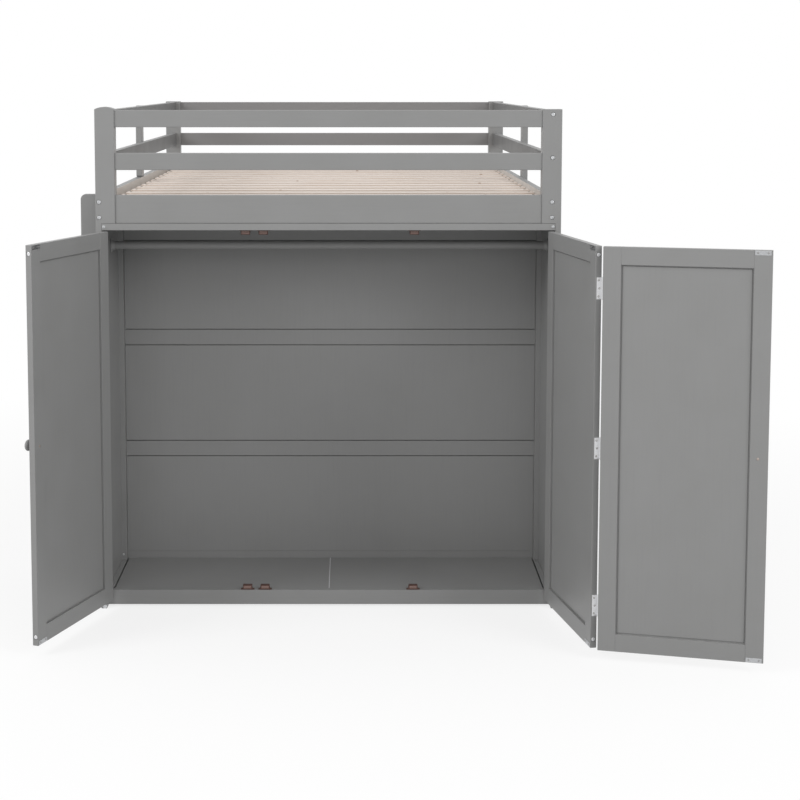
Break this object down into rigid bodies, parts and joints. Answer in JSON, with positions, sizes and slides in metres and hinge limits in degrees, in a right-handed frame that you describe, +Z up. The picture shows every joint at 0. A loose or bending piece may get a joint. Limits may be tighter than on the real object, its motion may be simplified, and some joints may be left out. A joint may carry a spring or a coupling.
{
  "type": "bunk bed",
  "caption": "Raised wooden bunk berth with guard rails and slats over a wardrobe with one hinged door, a folding pair of doors and a side ladder.",
  "frame": {"origin": "on the floor, under the middle of the wardrobe's footprint, at the foot of the floor bearer", "axes": "+X across the foot end, to the right as seen by someone facing the open wardrobe; +Y from foot to head; +Z up"},
  "size_m": [2.0891, 2.648, 1.571],
  "materials": {
    "grey_paint": "satin painted",
    "bare_pine": "planed, unfinished",
    "zinc_hardware": "zinc plated"
  },
  "bodies": {
    "bed_frame": {"front_left_post": "grey_paint", "front_right_post": "grey_paint", "rear_left_post": "grey_paint", "rear_right_post": "grey_paint", "front_top_guard": "grey_paint", "front_lower_guard": "grey_paint", "front_bed_rail": "grey_paint", "rear_top_guard": "grey_paint", "rear_lower_guard": "grey_paint", "rear_bed_rail": "grey_paint", "rear_stretcher": "grey_paint", "left_top_guard": "grey_paint", "left_lower_guard": "grey_paint", "left_bed_rail": "grey_paint", "left_guard_support": "grey_paint", "right_top_guard": "grey_paint", "right_lower_guard": "grey_paint", "right_bed_rail": "grey_paint", "right_guard_support": "grey_paint", "slat_01": "bare_pine", "slat_02": "bare_pine", "slat_03": "bare_pine", "slat_04": "bare_pine", "slat_05": "bare_pine", "slat_06": "bare_pine", "slat_07": "bare_pine", "slat_08": "bare_pine", "slat_09": "bare_pine", "slat_10": "bare_pine", "slat_11": "bare_pine", "slat_12": "bare_pine", "slat_13": "bare_pine", "slat_14": "bare_pine", "wardrobe_top": "grey_paint", "left_wardrobe_side": "grey_paint", "right_wardrobe_side": "grey_paint", "wardrobe_back": "grey_paint", "wardrobe_plinth": "grey_paint", "left_floor_board": "grey_paint", "right_floor_board": "grey_paint", "floor_bearer": "grey_paint", "hanging_rod": "grey_paint", "ladder": "grey_paint", "left_top_hinge_fixed_leaf": "zinc_hardware", "left_bottom_hinge_fixed_leaf": "zinc_hardware", "right_top_hinge_fixed_leaf": "zinc_hardware", "right_bottom_hinge_fixed_leaf": "zinc_hardware"},
    "left_door_body": {"left_door": "grey_paint", "left_door_knob": "grey_paint", "left_top_hinge_door_leaf": "zinc_hardware", "left_bottom_hinge_door_leaf": "zinc_hardware"},
    "inner_door_body": {"inner_fold_door": "grey_paint", "right_top_hinge_door_leaf": "zinc_hardware", "right_bottom_hinge_door_leaf": "zinc_hardware", "fold_top_hinge_fixed_leaf": "zinc_hardware", "fold_bottom_hinge_fixed_leaf": "zinc_hardware"},
    "outer_door_body": {"outer_fold_door": "grey_paint", "fold_door_knob": "grey_paint", "fold_top_hinge_door_leaf": "zinc_hardware", "fold_bottom_hinge_door_leaf": "zinc_hardware"}
  },
  "joints": [
    {"name": "left_door_hinge", "type": "hinge", "parent": "bed_frame", "child": "left_door_body", "pos_m": [-0.6955, -0.2034, 0.613], "axis": [0, 0, -1], "range_deg": [-109.6, 60]},
    {"name": "right_door_hinge", "type": "hinge", "parent": "bed_frame", "child": "inner_door_body", "pos_m": [0.6955, -0.2034, 0.613], "axis": [0, 0, 1], "range_deg": [-100.1, 20]},
    {"name": "fold_hinge", "type": "hinge", "parent": "inner_door_body", "child": "outer_door_body", "pos_m": [0.77681, -0.65988, 0.613], "axis": [0, 0, 1], "range_deg": [-65.8, 99]}
  ]
}
